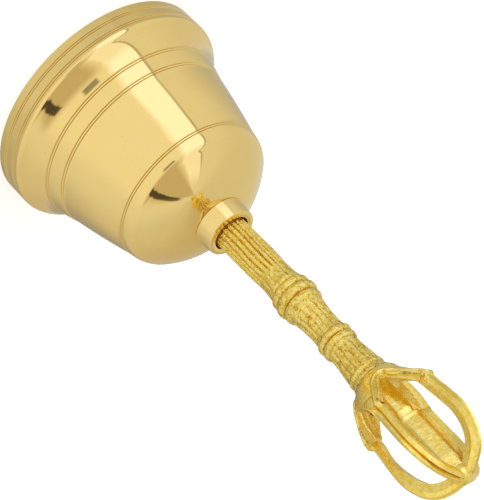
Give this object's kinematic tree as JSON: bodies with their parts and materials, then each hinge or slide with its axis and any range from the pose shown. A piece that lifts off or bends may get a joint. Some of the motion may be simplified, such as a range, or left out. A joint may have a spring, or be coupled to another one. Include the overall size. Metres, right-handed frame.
{
  "type": "brass puja hand bell",
  "caption": "Turned brass hand bell with a cast half-vajra handle, a swivelling staple and a freely swinging clapper.",
  "frame": {"origin": "centre of the mouth, on the plane that the rim stands on", "axes": "+Z along the bell's axis, from the mouth to the handle; the handle leans slightly towards +X"},
  "size_m": [0.08, 0.08, 0.1904],
  "materials": {
    "polished_brass": "turned and mirror polished",
    "cast_brass": "satin, fettled casting",
    "clapper_brass": "turned, lightly tarnished",
    "plated_steel": "zinc-plated fasteners"
  },
  "bodies": {
    "root": {"bell_shell": "polished_brass", "socket_collar": "polished_brass", "handle_stem": "cast_brass", "vajra_cup": "cast_brass", "prong_right": "cast_brass", "prong_back": "cast_brass", "prong_left": "cast_brass", "prong_front": "cast_brass", "centre_spike": "cast_brass", "finial": "cast_brass", "tie_bolt": "plated_steel", "crown_washer": "plated_steel"},
    "swivel": {"swivel_staple": "plated_steel", "staple_pin": "plated_steel"},
    "clapper": {"clapper_rod": "plated_steel", "clapper_ball": "clapper_brass", "ball_nut": "plated_steel"}
  },
  "joints": [
    {"name": "staple_turn", "type": "hinge", "parent": "root", "child": "swivel", "pos_m": [0, 0, 0.0587], "axis": [0, 0, 1], "continuous": true},
    {"name": "clapper_swing", "type": "hinge", "parent": "swivel", "child": "clapper", "pos_m": [0, 0, 0.05155], "axis": [1, 0, 0], "range_deg": [-35, 35]}
  ]
}
